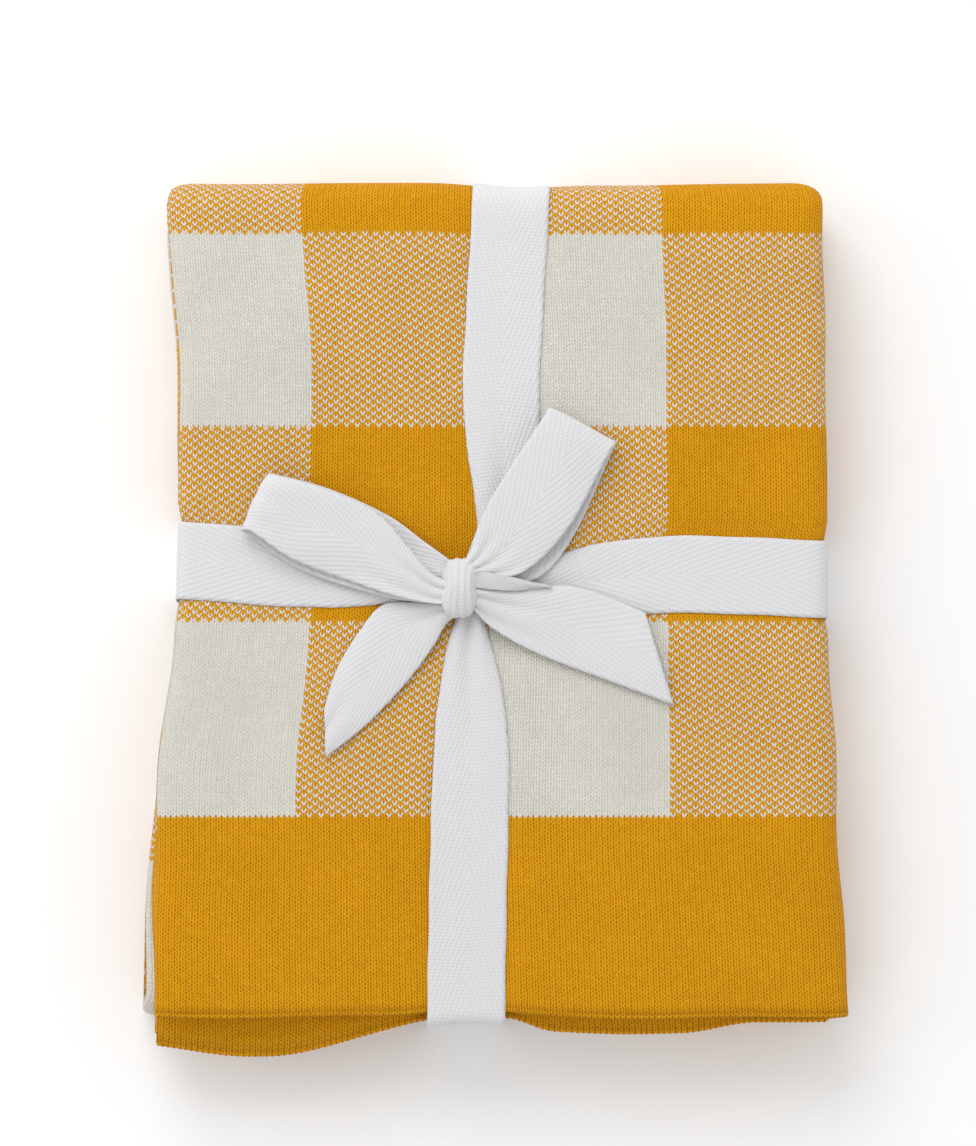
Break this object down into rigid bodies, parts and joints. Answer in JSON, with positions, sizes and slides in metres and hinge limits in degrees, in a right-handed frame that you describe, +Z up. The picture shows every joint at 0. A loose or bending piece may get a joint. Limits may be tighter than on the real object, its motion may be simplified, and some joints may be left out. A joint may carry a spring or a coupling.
{
  "type": "folded throw blanket",
  "caption": "Folded cotton knit throw with a gingham check and plain end borders, tied both ways with woven tape and finished with a bow.",
  "frame": {"origin": "on the surface the folded throw lies on, under the middle of its bounding box", "axes": "+X across the throw, +Y along its length towards the back folds, +Z up"},
  "size_m": [0.1994, 0.249, 0.041],
  "materials": {
    "knit_check": "double-knit cotton jacquard in mustard and cream checks",
    "knit_border": "plain mustard cotton knit with ribbed edge",
    "twill_tape": "white herringbone cotton twill tape"
  },
  "bodies": {
    "tied_throw": {"top_leaf": "knit_check", "top_border": "knit_border", "top_hem": "knit_border", "second_leaf": "knit_check", "second_border": "knit_border", "second_hem": "knit_border", "third_leaf": "knit_check", "bottom_leaf": "knit_check", "back_outer_fold": "knit_check", "back_inner_fold": "knit_check", "front_fold": "knit_check", "band_back": "twill_tape", "band_front": "twill_tape", "band_left": "twill_tape", "band_right": "twill_tape", "underside_turn": "twill_tape", "knot": "twill_tape"},
    "left_loop": {"left_loop": "twill_tape"},
    "upper_loop": {"upper_loop": "twill_tape"},
    "left_tail": {"left_tail": "twill_tape"},
    "right_tail": {"right_tail": "twill_tape"}
  },
  "joints": [
    {"name": "left_loop_lift", "type": "hinge", "parent": "tied_throw", "child": "left_loop", "pos_m": [-0.01469, 0.01136, 0.0371], "axis": [0.4226, 0.9063, 0], "range_deg": [0, 60]},
    {"name": "upper_loop_lift", "type": "hinge", "parent": "tied_throw", "child": "upper_loop", "pos_m": [-0.00414, 0.01504, 0.0371], "axis": [0.829, -0.5592, 0], "range_deg": [0, 60]},
    {"name": "left_tail_lift", "type": "hinge", "parent": "tied_throw", "child": "left_tail", "pos_m": [-0.01379, 0.00326, 0.0371], "axis": [-0.7071, 0.7071, 0], "range_deg": [0, 60]},
    {"name": "right_tail_lift", "type": "hinge", "parent": "tied_throw", "child": "right_tail", "pos_m": [-0.0023, 0.0061, 0.0371], "axis": [-0.3584, -0.9336, 0], "range_deg": [0, 60]}
  ]
}
